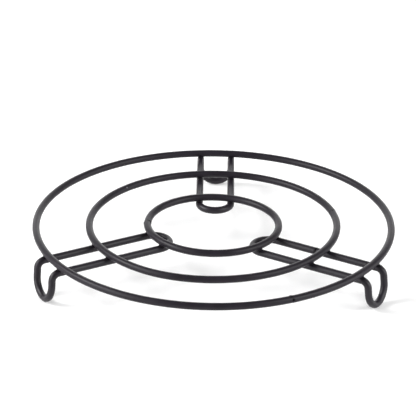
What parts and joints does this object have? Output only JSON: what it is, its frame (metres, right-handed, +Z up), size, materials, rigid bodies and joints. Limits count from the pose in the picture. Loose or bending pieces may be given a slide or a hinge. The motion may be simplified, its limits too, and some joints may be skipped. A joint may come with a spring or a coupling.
{
  "type": "wire trivet",
  "caption": "Round wire trivet: concentric coated wire rings welded flat onto looped wire legs that turn down into U-shaped feet.",
  "frame": {"origin": "on the rings' common axis, at the level of the table that the feet stand on", "axes": "+Z up along the rings' axis, +Y towards the rear leg, +X towards the right"},
  "size_m": [0.2, 0.2052, 0.0243],
  "materials": {
    "ring_wire": "satin black powder coat, fine orange peel",
    "leg_wire": "satin black powder coat, fine orange peel",
    "butt_weld": "satin black powder coat over a dressed butt weld",
    "crossing_weld": "satin black powder coat pooled over a weld fillet"
  },
  "bodies": {
    "root": {"outer_ring": "ring_wire", "outer_ring_seam": "butt_weld", "middle_ring": "ring_wire", "middle_ring_seam": "butt_weld", "inner_ring": "ring_wire", "inner_ring_seam": "butt_weld", "rear_leg": "leg_wire", "rear_leg_seam": "butt_weld", "weld_rear_outer_ccw": "crossing_weld", "weld_rear_outer_cw": "crossing_weld", "weld_rear_middle_ccw": "crossing_weld", "weld_rear_middle_cw": "crossing_weld", "weld_rear_inner_ccw": "crossing_weld", "weld_rear_inner_cw": "crossing_weld", "left_leg": "leg_wire", "left_leg_seam": "butt_weld", "weld_left_outer_ccw": "crossing_weld", "weld_left_outer_cw": "crossing_weld", "weld_left_middle_ccw": "crossing_weld", "weld_left_middle_cw": "crossing_weld", "weld_left_inner_ccw": "crossing_weld", "weld_left_inner_cw": "crossing_weld", "right_leg": "leg_wire", "right_leg_seam": "butt_weld", "weld_right_outer_ccw": "crossing_weld", "weld_right_outer_cw": "crossing_weld", "weld_right_middle_ccw": "crossing_weld", "weld_right_middle_cw": "crossing_weld", "weld_right_inner_ccw": "crossing_weld", "weld_right_inner_cw": "crossing_weld"}
  },
  "joints": []
}
